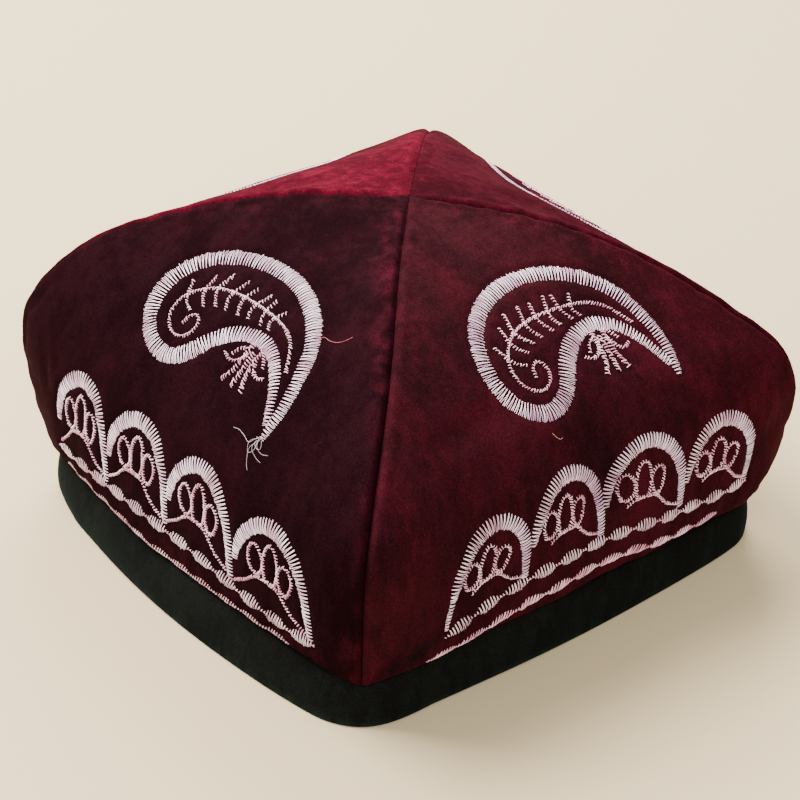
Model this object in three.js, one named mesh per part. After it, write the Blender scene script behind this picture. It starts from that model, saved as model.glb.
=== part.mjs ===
// A four-gored velvet skullcap: four padded crown panels that meet in raised corner seams, sewn
// onto a plain velvet band. Millimetres, +Z up, rim on z = 0, each panel facing along X or Y.

import * as THREE from 'three';
import { mergeVertices } from 'three/addons/utils/BufferGeometryUtils.js';

const GAP = 0.3; // between neighbouring pieces
const CROWN_WALL = 2.3; // velvet, wadding and lining, stitched together
const BAND_WALL = 3.0; // velvet folded over a stiffener
const APEX_HEIGHT = 101.5;
const CORNER_BAND_HEIGHT = 11.5; // the crown dips over the band at the corners
const SIDE_BAND_HEIGHT = 15.0; // and leaves more of it bare along the sides
const BAND_SETBACK = 1.2; // the crown's edge stands this far proud of the band
const BAND_PUFF = 0.6; // how far the band's face swells between its edges
const BAND_EDGE = 1.1; // rounding of the band's folded edges
const PANEL_SAG = 1.8; // how far a panel's middle hangs below its two seams on top

// Seam corners, anticlockwise seen from above. foot is the radius where the crown meets the band;
// lift raises or lowers the shoulder, because the worn cap sits a little higher on one side.
const CORNERS = {
  frontLeft: { angle: 225, foot: 102.0, lift: 2.5 },
  frontRight: { angle: 315, foot: 106.5, lift: 0 },
  backRight: { angle: 45, foot: 103.5, lift: -3.2 },
  backLeft: { angle: 135, foot: 101.0, lift: 0 },
};

// A corner seam seen from the side, from above the foot to the apex: radius, height and the share
// of the corner's lift.
const RIDGE = [
  { radius: 110, height: 36, share: 0 },
  { radius: 109.5, height: 57, share: 0 },
  { radius: 90, height: 76.5, share: 1 },
  { radius: 62, height: 90.5, share: 0.6 },
  { radius: 34, height: 98.4, share: 0.3 },
  { radius: 0, height: APEX_HEIGHT, share: 0 },
];

// swell is how far the panel's foot bows out between its two corners.
const PANELS = [
  { name: 'crown_panel_front', facing: 270, from: 'frontLeft', to: 'frontRight', swell: 6.0 },
  { name: 'crown_panel_right', facing: 0, from: 'frontRight', to: 'backRight', swell: 2.5 },
  { name: 'crown_panel_back', facing: 90, from: 'backRight', to: 'backLeft', swell: 3.0 },
  { name: 'crown_panel_left', facing: 180, from: 'backLeft', to: 'frontLeft', swell: 3.0 },
];

// Soft creases pressed into the cloth. u runs from -1 to 1 across the panel and t from the foot to
// the apex; turn is in degrees from upright, and long and wide are in millimetres.
const CREASES = [
  { panel: 'crown_panel_right', u: -0.86, t: 0.05, turn: -52, long: 20, wide: 4.5, depth: 2.2 },
  { panel: 'crown_panel_right', u: 0.02, t: 0.27, turn: -6, long: 16, wide: 6, depth: 1.8 },
  { panel: 'crown_panel_right', u: 0.86, t: 0.2, turn: 28, long: 26, wide: 7, depth: 1.6 },
  { panel: 'crown_panel_right', u: -0.55, t: 0.42, turn: 88, long: 14, wide: 5, depth: 1.0 },
  { panel: 'crown_panel_left', u: 0.1, t: 0.24, turn: 8, long: 20, wide: 8, depth: 1.5 },
  { panel: 'crown_panel_back', u: -0.3, t: 0.22, turn: -10, long: 20, wide: 8, depth: 1.5 },
];

const COLUMNS = 18; // across a panel
const ROWS = 20; // from foot to apex
const OUTLINE_SQUARENESS = [[0, 10.0], [0.45, 14.5], [1, 9.5]]; // superellipse power against t
const FOOT_ZONE = 0.3; // the share of the panel that its foot shapes
const PANEL_WIDTH = 150; // nominal, for turning u into millimetres
const PANEL_LENGTH = 150; // nominal, for turning t into millimetres
const STEP = 0.01; // in u and t, for measuring slopes

const velvetRed = new THREE.MeshStandardMaterial({ color: 0x4a0c1c, roughness: 0.85, metalness: 0 });
const velvetGreen = new THREE.MeshStandardMaterial({ color: 0x101d1a, roughness: 0.9, metalness: 0 });

function between(table, x) {
  const next = Math.max(1, table.findIndex(([at]) => at >= x));
  const [[x0, y0], [x1, y1]] = [table[next - 1], table[next]];
  return THREE.MathUtils.mapLinear(x, x0, x1, y0, y1);
}

function ridgeCurve(corner) {
  const points = [new THREE.Vector3(corner.foot, 0, CORNER_BAND_HEIGHT + GAP)];
  for (const knot of RIDGE) {
    points.push(new THREE.Vector3(knot.radius, 0, knot.height + knot.share * corner.lift));
  }
  return new THREE.CatmullRomCurve3(points, false, 'catmullrom', 0.5);
}

// A point on a corner seam. inset moves it in through the wall, square to the seam.
function ridgePoint(corner, curve, t, inset) {
  const point = curve.getPointAt(t);
  const along = curve.getTangentAt(t);
  const mitre = Math.SQRT2 / 1.07; // the wall is cut slantwise where two panels meet
  const atApex = t === 1;
  point.x = atApex ? 0 : point.x - inset * mitre * along.z;
  point.z += atApex ? -inset : inset * along.x;
  return point.applyAxisAngle(new THREE.Vector3(0, 0, 1), THREE.MathUtils.degToRad(corner.angle));
}

for (const corner of Object.values(CORNERS)) corner.curve = ridgeCurve(corner);

// The panel's surface without its creases: straight between the seams, then bowed out sideways so
// that the sides are full and the corners round, and sagging between the seams on top.
function smoothPoint(panel, u, t, inset) {
  const start = CORNERS[panel.from];
  const end = CORNERS[panel.to];
  const point = ridgePoint(start, start.curve, t, inset)
    .lerp(ridgePoint(end, end.curve, t, inset), (1 + u) / 2);
  const power = between(OUTLINE_SQUARENESS, t);
  const fullness = ((1 + Math.abs(u) ** power) / 2) ** (-1 / power);
  const foot = Math.max(0, 1 - t / FOOT_ZONE) ** 2;
  const bow = 1 + (panel.swell / (PANEL_WIDTH / 2)) * foot * (1 - u * u) ** 2;
  point.x *= fullness * bow;
  point.y *= fullness * bow;
  const top = Math.max(0, (t - 0.2) / 0.8);
  point.z -= PANEL_SAG * Math.sin(Math.PI * top) ** 1.5 * (1 - u * u);
  point.z += (SIDE_BAND_HEIGHT - CORNER_BAND_HEIGHT) * foot * (1 - u ** 4);
  return point;
}

function creaseDepth(panel, u, t) {
  let depth = 0;
  for (const crease of CREASES.filter((one) => one.panel === panel.name)) {
    const across = ((u - crease.u) * PANEL_WIDTH) / 2;
    const up = (t - crease.t) * PANEL_LENGTH;
    const turn = THREE.MathUtils.degToRad(crease.turn);
    const along = across * Math.sin(turn) + up * Math.cos(turn);
    const aside = across * Math.cos(turn) - up * Math.sin(turn);
    depth += crease.depth * Math.exp(-((along / crease.long) ** 2) - (aside / crease.wide) ** 2);
  }
  return depth * (1 - u ** 8); // the seams hold their line
}

function panelPoint(panel, u, t, inset) {
  const point = smoothPoint(panel, u, t, inset);
  const depth = creaseDepth(panel, u, t);
  if (depth < 0.01) return point;
  const across = smoothPoint(panel, u + STEP, t, 0).sub(smoothPoint(panel, u - STEP, t, 0));
  const up = smoothPoint(panel, u, t + STEP, 0).sub(smoothPoint(panel, u, Math.max(0, t - STEP), 0));
  return point.addScaledVector(across.cross(up).normalize(), -depth);
}

// Columns crowd towards the corners, where the outline turns.
function columnsOf(panel) {
  return Array.from({ length: COLUMNS + 1 }, (_, i) => Math.sin((Math.PI / 2) * ((2 * i) / COLUMNS - 1)));
}

// Joins closed rings of points into one closed body. Rings may shrink to a line at the end.
function skin(rings, { loop = false, firstCap = false }) {
  const count = rings[0].length;
  const positions = rings.flat().flatMap((p) => p.toArray());
  const faces = [];
  const quad = (a, b, c, d) => faces.push([a, b, c], [a, c, d]);
  const last = loop ? rings.length : rings.length - 1;
  for (let i = 0; i < last; i += 1) {
    const here = i * count;
    const there = ((i + 1) % rings.length) * count;
    for (let j = 0; j < count; j += 1) {
      const k = (j + 1) % count;
      quad(here + j, here + k, there + k, there + j);
    }
  }
  if (firstCap) {
    for (let j = 0; j < count / 2 - 1; j += 1) quad(j, count - 1 - j, count - 2 - j, j + 1);
  }
  let geometry = new THREE.BufferGeometry();
  geometry.setAttribute('position', new THREE.Float32BufferAttribute(positions, 3));
  geometry.setIndex(faces.flat());
  geometry = mergeVertices(geometry, 1e-4);
  return turnedOut(geometry);
}

// Drops the faces that shrank to nothing and makes the rest face outwards.
function turnedOut(geometry) {
  const corners = Array.from(geometry.index.array);
  const position = geometry.attributes.position;
  const [a, b, c] = [new THREE.Vector3(), new THREE.Vector3(), new THREE.Vector3()];
  const kept = [];
  let volume = 0;
  for (let i = 0; i < corners.length; i += 3) {
    const [p, q, r] = corners.slice(i, i + 3);
    if (p === q || q === r || r === p) continue;
    kept.push([p, q, r]);
    a.fromBufferAttribute(position, p);
    b.fromBufferAttribute(position, q);
    c.fromBufferAttribute(position, r);
    volume += a.dot(b.cross(c));
  }
  geometry.setIndex(kept.flatMap(([p, q, r]) => (volume < 0 ? [p, r, q] : [p, q, r])));
  geometry.computeVertexNormals();
  return geometry;
}

// One gore: its outer and inner faces share a ring at each height, from the foot to the apex.
function crownPanel(panel) {
  const us = columnsOf(panel);
  const rings = [];
  for (let row = 0; row <= ROWS; row += 1) {
    const t = row / ROWS;
    const outer = us.map((u) => panelPoint(panel, u, t, 0));
    const inner = us.map((u) => panelPoint(panel, u, t, CROWN_WALL));
    rings.push([...outer, ...inner.reverse()]);
  }
  const mesh = new THREE.Mesh(skin(rings, { firstCap: true }), velvetRed);
  mesh.name = panel.name;
  const facing = THREE.MathUtils.degToRad(panel.facing);
  const shift = GAP / Math.SQRT2; // opens an even gap along both slanting seams
  mesh.position.set(shift * Math.cos(facing), shift * Math.sin(facing), 0);
  return mesh;
}

// The band's section at one station: a strip with folded edges and a slightly swollen face.
// across runs from the outer face to the inner one, and up from the floor to the band's top.
function bandRing(panel, u) {
  const foot = smoothPoint(panel, u, 0, 0);
  const top = foot.z - GAP;
  const along = smoothPoint(panel, u + STEP, 0, 0).sub(smoothPoint(panel, u - STEP, 0, 0));
  const inward = new THREE.Vector3(-along.y, along.x, 0).normalize();
  const at = (across, up) => foot.clone().addScaledVector(inward, BAND_SETBACK + across).setZ(up);
  return [
    at(BAND_EDGE * 0.6, 0), at(0, BAND_EDGE), at(-BAND_PUFF, top / 2), at(0, top - BAND_EDGE),
    at(BAND_EDGE * 0.6, top), at(BAND_WALL - BAND_EDGE * 0.6, top), at(BAND_WALL, top - BAND_EDGE),
    at(BAND_WALL, BAND_EDGE), at(BAND_WALL - BAND_EDGE * 0.6, 0),
  ];
}

function band() {
  const rings = PANELS.flatMap((panel) => columnsOf(panel).slice(0, -1).map((u) => bandRing(panel, u)));
  const mesh = new THREE.Mesh(skin(rings, { loop: true }), velvetGreen);
  mesh.name = 'band';
  return mesh;
}

const skullcap = new THREE.Group();
skullcap.add(band(), ...PANELS.map(crownPanel));

export default skullcap;
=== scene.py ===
import math

import bpy
import numpy as np
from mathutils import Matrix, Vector, kdtree


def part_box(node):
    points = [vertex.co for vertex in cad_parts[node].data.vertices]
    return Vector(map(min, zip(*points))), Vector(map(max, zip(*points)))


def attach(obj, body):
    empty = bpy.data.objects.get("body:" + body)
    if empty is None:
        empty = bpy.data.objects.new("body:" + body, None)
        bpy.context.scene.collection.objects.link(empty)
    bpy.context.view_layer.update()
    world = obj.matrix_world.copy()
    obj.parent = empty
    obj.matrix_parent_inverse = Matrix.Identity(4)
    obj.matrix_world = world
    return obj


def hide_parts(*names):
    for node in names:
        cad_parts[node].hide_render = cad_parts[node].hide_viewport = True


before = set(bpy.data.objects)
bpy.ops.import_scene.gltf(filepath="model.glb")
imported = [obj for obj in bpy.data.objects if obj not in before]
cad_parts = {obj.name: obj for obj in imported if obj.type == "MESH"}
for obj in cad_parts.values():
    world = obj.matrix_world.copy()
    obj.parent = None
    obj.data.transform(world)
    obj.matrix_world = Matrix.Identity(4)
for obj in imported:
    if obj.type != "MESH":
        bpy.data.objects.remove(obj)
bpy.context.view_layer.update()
mm = 0.001


# the cap's form, in millimetres; each gore runs u = -1..1 across and t = 0..1 from foot to apex
capForm = {
    "apexHeight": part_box("crown_panel_front")[1].z / mm,
    "sideBandHeight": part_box("band")[1].z / mm,
    "cornerBandHeight": 11.5,
    "sewingGap": 0.3,
    "goreSag": 1.8,
    "outlineSquareness": ((0, 0.45, 1), (10.0, 14.5, 9.5)),
    "footZone": 0.3,
    "goreWidth": 150.0,
    "goreLength": 150.0,
}

# corner seams: compass angle, radius where the crown meets the band, lift of the shoulder
corners = {
    "frontLeft": (225, 102.0, 2.5),
    "frontRight": (315, 106.5, 0.0),
    "backRight": (45, 103.5, -3.2),
    "backLeft": (135, 101.0, 0.0),
}

# a corner seam above its foot: radius, height, share of the corner's lift
ridgeKnots = [
    (110, 36, 0),
    (109.5, 57, 0),
    (90, 76.5, 1),
    (62, 90.5, 0.6),
    (34, 98.4, 0.3),
    (0, capForm["apexHeight"], 0),
]

gores = {
    "front": {"facing": 270, "seams": ("frontLeft", "frontRight"), "swell": 6.0},
    "right": {"facing": 0, "seams": ("frontRight", "backRight"), "swell": 2.5, "footRise": 1.2},
    "back": {"facing": 90, "seams": ("backRight", "backLeft"), "swell": 3.0},
    "left": {"facing": 180, "seams": ("backLeft", "frontLeft"), "swell": 3.0},
}
# nap is the pile's lie at the foot and at the apex, 0 to 1, with painted sheen and shade: each
# gore is painted lighter or darker for how light falls on it; rub is how much lighter it is along
# each of its two seams, worn pile with a painted highlight; laid and brushed are its darker and
# lighter tones, set apart for each gore as lit and shaded copies of one velvet
pileAndSheen = {
    "front": {
        "napAndSheen": (0.0, 0.05), "rubAndHighlight": (0.08, 0.26), "sheen": 0.008,
        "laid": ((0.0051, 0.00115, 0.0019), (0.0087, 0.00155, 0.0029)),
        "brushed": ((0.028, 0.0028, 0.0055), (0.066, 0.0042, 0.0115)),
    },
    "right": {
        "napAndSheen": (0.37, 0.26), "rubAndHighlight": (0.023, 0.2), "sheen": 0.023,
        "laid": ((0.0046, 0.0023, 0.0028), (0.0082, 0.0030, 0.0039)),
        "brushed": ((0.028, 0.0028, 0.0053), (0.066, 0.0043, 0.0108)),
    },
    "back": {
        "napAndSheen": (0.50, 0.56), "rubAndHighlight": (0.2, 0.2), "sheen": 0.027,
        "laid": ((0.0045, 0.00095, 0.00145), (0.0080, 0.0013, 0.0022)),
        "brushed": ((0.028, 0.0020, 0.0051), (0.066, 0.0031, 0.0104)),
    },
    "left": {
        "napAndSheen": (0.10, 1.25), "rubAndHighlight": (0.2, 0.12), "sheen": 0.042,
        "laid": ((0.0045, 0.00095, 0.00145), (0.0080, 0.0013, 0.0022)),
        "brushed": ((0.032, 0.0019, 0.0051), (0.090, 0.0029, 0.0127)),
    },
}
# the gore seams: how far each stands up as a ridge, how hollow the cloth falls behind it, and how
# deep its groove is drawn
seamRidges = {
    "frontLeft": {"lift": 0.1, "hollow": {"left": 3.0}, "groove": 1.0},
    "frontRight": {"lift": 0.0, "hollow": {}, "groove": 1.0},
    "backRight": {"lift": 0.2, "hollow": {"back": 2.6}, "groove": 1.1},
    "backLeft": {"lift": 0.2, "hollow": {}, "groove": 0.3},
}
# where the worn crown has moved: compass angle and its spread, whether the cloth moved sideways
# or outwards, then the moves at heights up the crown, in millimetres
wornMoves = [
    (315, 24, "sideways", (
        (41, 0), (56, 0.5), (67, 1.1), (77, 1.7), (84, 1.9), (90, 1.6), (95, 0.9), (98, 0.4), (101, 0),
    )),
    (225, 13, "outwards", ((12, 0), (22, -1.2), (30, -2.2), (40, -2.6), (50, -2.0), (58, -0.8), (66, 0))),
]
# brushed marks in the pile, with painted shade and painted highlight at creases and folds: gore, x
# and y on its chart, turn, length, width, lighter or darker
brushMarksAndFoldShading = [
    ("right", -9, 36, -14, 16, 4, 0.22),
    # painted shade along the crease across the right gore's middle
    ("right", 3, 42, -6, 15, 5, -0.16),
    # painted highlight along the fold beside the right gore's back seam
    ("right", 62, 42, 28, 24, 7, 0.24),
    # painted shade in the crease at the right gore's front foot
    ("right", -61, 6, 63, 9, 2.4, -0.38),
    ("right", -60, 24, 20, 22, 4, -0.12),
    ("right", 55, 60, 0, 30, 18, 0.12),
    ("right", -27, 66, 88, 12, 1.6, 0.2),
    ("right", 52, 78, 0, 32, 20, 0.2),
    ("front", -66, 20, 0, 20, 6, 0.06),
    ("back", 20, 45, 20, 24, 8, 0.2),
    ("back", -34, 88, 39, 32, 5, -0.26),
    ("back", -56, 58, 30, 30, 10, 0.25),
    ("left", -20, 50, -15, 26, 8, 0.2),
]

# soft creases: gore, u, t, turn from upright, length, width and depth
creases = [
    ("right", -0.84, 0.042, 63, 10, 2.4, 1.7),
    ("right", 0.02, 0.27, -6, 16, 6, 1.8),
    ("right", 0.86, 0.2, 28, 26, 7, 1.6),
    ("right", -0.55, 0.42, 88, 14, 5, 1.0),
    ("left", 0.1, 0.24, 8, 20, 8, 1.5),
    ("back", -0.3, 0.22, -10, 20, 8, 1.5),
]


def smoothCurve(knots, steps=60):
    # a curve through the knots, as the crown's seams follow: any number of columns
    points = np.array(knots, float)
    points = np.vstack([2 * points[0] - points[1], points, 2 * points[-1] - points[-2]])
    s = np.linspace(0, 1, steps, endpoint=False)[:, None]
    pieces = []
    for p0, p1, p2, p3 in zip(points, points[1:], points[2:], points[3:]):
        v1, v2 = (p2 - p0) / 2, (p3 - p1) / 2
        cubic = (2 * p1 - 2 * p2 + v1 + v2) * s ** 3 + (3 * p2 - 3 * p1 - 2 * v1 - v2) * s ** 2
        pieces.append(cubic + v1 * s + p1)
    return np.vstack(pieces + [points[-2:-1]])


def runLength(points):
    steps = np.linalg.norm(np.diff(points, axis=0), axis=1)
    return np.concatenate([[0], np.cumsum(steps)])


def ridgeLine(corner):
    angle, foot, lift = corners[corner]
    knots = [(foot, capForm["cornerBandHeight"] + capForm["sewingGap"])]
    knots += [(radius, height + share * lift) for radius, height, share in ridgeKnots]
    line = smoothCurve(knots, 200)
    lengths = runLength(line)
    return math.radians(angle), line, lengths / lengths[-1], np.gradient(line, lengths, axis=0)


ridgeLines = {corner: ridgeLine(corner) for corner in corners}


def ridgePoint(corner, t, inset):
    angle, line, share, slope = ridgeLines[corner]
    radius, height, outward, upward = (
        np.interp(t, share, column) for column in (*line.T, *slope.T)
    )
    mitre = math.sqrt(2) / 1.07
    radius = np.where(t >= 1, 0, radius - inset * mitre * upward)
    height = np.where(t >= 1, height - inset, height + inset * outward)
    return np.stack([radius * math.cos(angle), radius * math.sin(angle), height], -1)


def goreSurface(name, u, t, inset=0.0):
    u, t = np.broadcast_arrays(np.asarray(u, float), np.asarray(t, float))
    start, end = (ridgePoint(seam, t, inset) for seam in gores[name]["seams"])
    points = start * ((1 - u) / 2)[..., None] + end * ((1 + u) / 2)[..., None]
    power = np.interp(t, *capForm["outlineSquareness"])
    fullness = ((1 + np.abs(u) ** power) / 2) ** (-1 / power)
    foot = np.clip(1 - t / capForm["footZone"], 0, 1) ** 2
    bow = 1 + gores[name]["swell"] / (capForm["goreWidth"] / 2) * foot * (1 - u * u) ** 2
    points[..., :2] *= (fullness * bow)[..., None]
    top = np.clip((t - 0.2) / 0.8, 0, 1)
    points[..., 2] -= capForm["goreSag"] * np.sin(math.pi * top) ** 1.5 * (1 - u * u)
    rise = capForm["sideBandHeight"] - capForm["cornerBandHeight"]
    points[..., 2] += rise * foot * (1 - u ** 4)
    points[..., 2] += gores[name].get("footRise", 0) * foot * (1 - u * u) ** 2
    return points


def worn(points):
    # the moves of the worn crown, the same for every gore so that its seams stay closed
    moved = points.copy()
    compass = np.degrees(np.arctan2(points[..., 1], points[..., 0]))
    for angle, spread, way, knots in wornMoves:
        turn = (compass - angle + 180) % 360 - 180
        amount = np.interp(points[..., 2], *zip(*knots)) * np.exp(-((turn / spread) ** 2))
        heading = np.radians(compass + (90 if way == "sideways" else 0))
        moved[..., 0] += amount * np.cos(heading)
        moved[..., 1] += amount * np.sin(heading)
    return moved


def creaseDepth(name, u, t):
    depth = np.zeros_like(u)
    for gore, atU, atT, turn, long, wide, deep in creases:
        if gore != name:
            continue
        across, up = (u - atU) * capForm["goreWidth"] / 2, (t - atT) * capForm["goreLength"]
        turn = math.radians(turn)
        along = across * math.sin(turn) + up * math.cos(turn)
        aside = across * math.cos(turn) - up * math.sin(turn)
        depth += deep * np.exp(-((along / long) ** 2) - (aside / wide) ** 2)
    return depth * (1 - u ** 8)


def ripples(seed, x, y, wavelength, count=7):
    # soft random waves in every direction, about -1 to 1
    rng = np.random.default_rng(seed)
    total = np.zeros_like(x)
    for _ in range(count):
        heading, phase = rng.uniform(0, 2 * math.pi, 2)
        k = 2 * math.pi / (wavelength * rng.uniform(0.7, 1.4))
        total += np.sin(k * (x * math.cos(heading) + y * math.sin(heading)) + phase)
    return total / math.sqrt(count)


print("form ready: apex at", round(capForm["apexHeight"], 1), "mm")


# the embroidery's chart, in millimetres on the flat gore: x from its middle line, y up from its
# foot. The paisley is drawn by its ribbon's middle and width.
paisleyRibbon = [
    (31.6, 53.5, 1.8), (31.9, 57, 3.2), (32.4, 61.5, 3.6), (31.9, 66.5, 3.8), (30.4, 72, 4.3),
    (27.5, 79, 4.5), (23.2, 84.6, 4.7), (17.4, 89.3, 4.8), (10.5, 92.7, 4.8), (3, 94.4, 4.8),
    (-5, 94.2, 4.9), (-12.5, 92.3, 5.0), (-19.5, 88.6, 5.0), (-25, 83, 5.1), (-27.9, 76, 5.4),
    (-28, 69, 5.5), (-25.6, 63.4, 5.3), (-21, 59.2, 5.1), (-15, 57.4, 4.9), (-9.4, 58.9, 5.1),
    (-5.2, 62.6, 5.3), (-1.6, 68, 5.5), (2.8, 72, 5.2), (8, 74.4, 4.8), (13.3, 75, 4.6),
    (18.6, 73.3, 4.1), (23, 69.8, 3.7), (26.4, 65.4, 3.2), (28.8, 61, 2.8), (30.6, 57, 2.4),
]
fernSpine = [
    (-13.8, 67.2), (-13.1, 69.9), (-11.2, 71), (-9.4, 69.7), (-9, 67), (-10.6, 64.6),
    (-13.6, 63.4), (-17, 64.4), (-19.6, 67), (-20.3, 70.5), (-19.5, 73.8), (-17.2, 77),
    (-13.6, 79.9), (-9, 81.6), (-3, 82.5), (4, 82.6), (10, 82.2), (15.5, 81.1), (19.8, 78.9),
    (23, 75.6), (26, 71.3),
]
# each pair of barbs: outer tip, where it crosses the spine, a bend, inner tip
fernBarbs = [
    ((-21.3, 78.3), (-19.2, 74.2), (-17.4, 72.2), (-14.7, 71.1)),
    ((-16.1, 82.9), (-15.8, 78.3), (-14.6, 76.2), (-11.9, 74.0)),
    ((-12.0, 85.9), (-12.7, 80.5), (-11.3, 78.3), (-8.5, 75.8)),
    ((-6.2, 86.8), (-7.4, 82.0), (-7.0, 79.6), (-5.0, 76.6)),
    ((-1.9, 86.4), (-3.0, 82.5), (-2.3, 80.0), (-0.2, 77.1)),
    ((3.6, 86.9), (2.0, 82.6), (1.9, 80.4), (3.3, 78.0)),
    ((6.3, 86.3), (6.2, 82.5), (6.7, 80.6), (8.2, 78.3)),
    ((12.0, 85.0), (10.3, 82.2), (10.1, 80.4), (11.4, 78.4)),
]
# strokes of the fan flower: width, then points
fanFlower = [
    (1.2, ((12.2, 70.6), (10.2, 67.3), (7.4, 66.2), (4.8, 67.3))),
    (1.2, ((11.2, 71.6), (8.6, 70.4), (7.3, 68.0))),
    (1.7, ((11.3, 73.0), (11.2, 67.0), (10.6, 64.0), (9.0, 61.0))),
    (1.9, ((13.3, 71.0), (13.4, 66.0), (13.2, 60.8))),
    (1.8, ((15.2, 72.5), (15.3, 67.0), (16.0, 64.0), (17.1, 60.8))),
    (1.2, ((15.6, 69.6), (17.2, 66.9), (19.2, 65.9), (21.3, 66.6))),
    (1.2, ((15.9, 72.4), (17.6, 70.8), (18.9, 69.0))),
]
# one arch from its left foot, y counted from the bead row: x, y, width
archRibbon = [
    (1.6, 10.5, 2.4), (2.6, 15, 3.6), (5.2, 20, 4.3), (9.2, 24.6, 4.8), (14, 26.9, 5.0),
    (18.8, 26.6, 5.0), (23.2, 24, 4.8), (26.6, 19.4, 4.4), (28.3, 13.5, 3.6), (28.9, 7, 3.0),
    (29.2, 2.0, 2.5),
]
# where an end arch's left leg runs on down to the beads
legEnd = [(1.6, 11.5, 2.2), (1.0, 8, 2.0), (0.5, 4.5, 1.8), (0.3, 1.2, 1.4)]
# the looped sprig inside an arch, in the arch's own chart: closed loops and open stems
sprigLoops = [
    ((8.2, 11.2), (7.1, 15.0), (8.3, 18.6), (10.6, 19.4), (12.6, 16.6), (12.5, 13.0), (10.4, 10.6)),
    ((13.4, 10.6), (13.0, 16.0), (14.4, 21.0), (16.4, 22.4), (18.2, 20.4), (18.5, 15.5), (17.0, 10.8)),
    ((19.4, 10.9), (18.6, 15.0), (20.2, 18.6), (22.6, 18.8), (23.9, 16.2), (23.1, 12.6), (21.2, 10.0)),
]
sprigStems = [
    ((14.0, 10.2), (11.0, 9.9), (8.6, 8.6), (5.8, 6.2), (1.6, 3.6)),
    ((15.6, 10.2), (18.4, 9.8), (20.6, 7.6), (23.4, 5.0), (27.6, 3.2)),
]

border = {
    "beads": 12,
    "beadWidth": 4.6,
    "lowBeads": 11,
    "lowBeadWidth": 3.7,
    "rowDegree": 4,
}
# where each gore's stitching sits: paisley shift and stretch; left foot, width and height of each
# arch; places along both bead rows and the rows' ends; lean of the bead stitches in degrees
stitchPlaces = {
    "front": {
        "paisley": (0.0, 0.0), "stretch": (1.0, 1.0),
        "arches": ((-55.2, 0.93, 1.04), (-27.5, 0.99, 1.0), (1.4, 0.98, 1.015), (30.5, 1.06, 1.0)),
        "row": (
            (-58, 8.0), (-46, 8.1), (-32, 9.2), (-18, 10.5), (-5, 10.9), (8, 10.5),
            (22, 9.2), (36, 7.9), (50, 7.5), (62, 7.4),
        ),
        "lowRow": ((-56, 1.8), (-28, 1.9), (0, 2.0), (28, 1.9), (52, 1.8)),
        "rowEnds": (-57.5, 63.0), "lowRowEnds": (-56.5, 51.8),
        "lean": (20, 34), "stem": 5, "leg": False, "loops": 1.0, "sprigShift": 0.0,
    },
    "right": {
        "paisley": (5.0, 0.7), "stretch": (0.966, 1.026),
        "arches": ((-53.2, 0.906, 0.895), (-26.7, 0.949, 0.948), (0.8, 1.04, 0.975), (31.0, 0.975, 0.93)),
        "row": (
            (-55, 7.2), (-48, 8.8), (-38, 11.3), (-28, 13.2), (-15, 14.6), (-5, 15.0),
            (6, 14.5), (18, 13.3), (30, 12.3), (42, 11.7), (55, 11.3), (61, 11.0),
        ),
        "lowRow": (
            (-56, 1.6), (-43, 2.2), (-33, 3.4), (-24, 5.2), (-15, 6.6), (-6, 7.0),
            (5, 6.1), (16, 5.0), (27, 4.2), (38, 3.9), (50, 3.7),
        ),
        "rowEnds": (-52.8, 60.8), "lowRowEnds": (-57.0, 50.8),
        "lean": (-14, 24), "stem": 3, "leg": True, "loops": 0.9, "sprigShift": -1.8,
    },
    "back": {
        "paisley": (3.4, -3.6), "stretch": (1.0, 1.0), "ribbon": 0.5,
        "arches": ((-56.5, 1.0, 1.0), (-27.3, 1.0, 1.0), (1.9, 0.98, 1.0), (30.8, 1.0, 0.98)),
        "row": ((-60, 9.2), (-30, 11.6), (0, 12.5), (30, 11.6), (60, 8.6)),
        "lowRow": ((-55, 1.9), (-28, 3.4), (0, 4.2), (28, 3.4), (52, 1.9)),
        "rowEnds": (-58.5, 61.0), "lowRowEnds": (-55.5, 52.0),
        "lean": (10, 30), "stem": 5, "leg": True, "loops": 0.9, "sprigShift": 0.0,
    },
    "left": {
        "paisley": (-1.0, -8.4), "stretch": (1.0, 1.0), "ribbon": 0.85,
        "arches": ((-57.5, 0.98, 1.0), (-28.6, 1.0, 1.0), (0.7, 1.0, 0.99), (30.0, 0.99, 0.97)),
        "row": ((-60, 9.0), (-30, 11.2), (0, 12.0), (30, 11.0), (60, 8.4)),
        "lowRow": ((-55, 1.9), (-28, 3.1), (0, 3.8), (28, 3.0), (52, 1.9)),
        "rowEnds": (-60.0, 60.0), "lowRowEnds": (-57.0, 51.0),
        "lean": (-6, 28), "stem": 4, "leg": False, "loops": 0.95, "sprigShift": 0.0,
    },
}


def charted(points, width, lean=0.0, closed=False):
    # a stitched line: rows of x, y, stitch width, lean
    rows = [tuple(p) + (width,) if len(p) == 2 else tuple(p) for p in points]
    if closed:
        rows = rows + rows[:1]
    line = smoothCurve(rows, 14)
    return np.column_stack([line, np.full(len(line), math.radians(lean))])


def beadRow(rowHeight, ends, beads, full, lean):
    # spindles joined by thin necks, along a row that bends with the gore's foot
    x = np.arange(*ends, 0.35)
    place = (x - ends[0]) / (ends[1] - ends[0]) * beads % 1
    width = 0.8 + (full - 0.8) * np.clip(np.sin(math.pi * place) * 1.8 - 0.65, 0, 1) ** 0.55
    return np.column_stack([x, rowHeight(x), width, np.full_like(x, math.radians(lean))])


def archPlaced(line, foot, wide, tall, rowHeight):
    # from the arch's own chart to the gore's
    centre = foot + 15 * wide
    tilt = rowHeight.deriv()(centre)
    moved = line.copy()
    moved[:, 0] = foot + wide * line[:, 0]
    moved[:, 1] = tall * line[:, 1] + rowHeight(centre) + tilt * (moved[:, 0] - centre) * 0.8
    return moved


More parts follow.
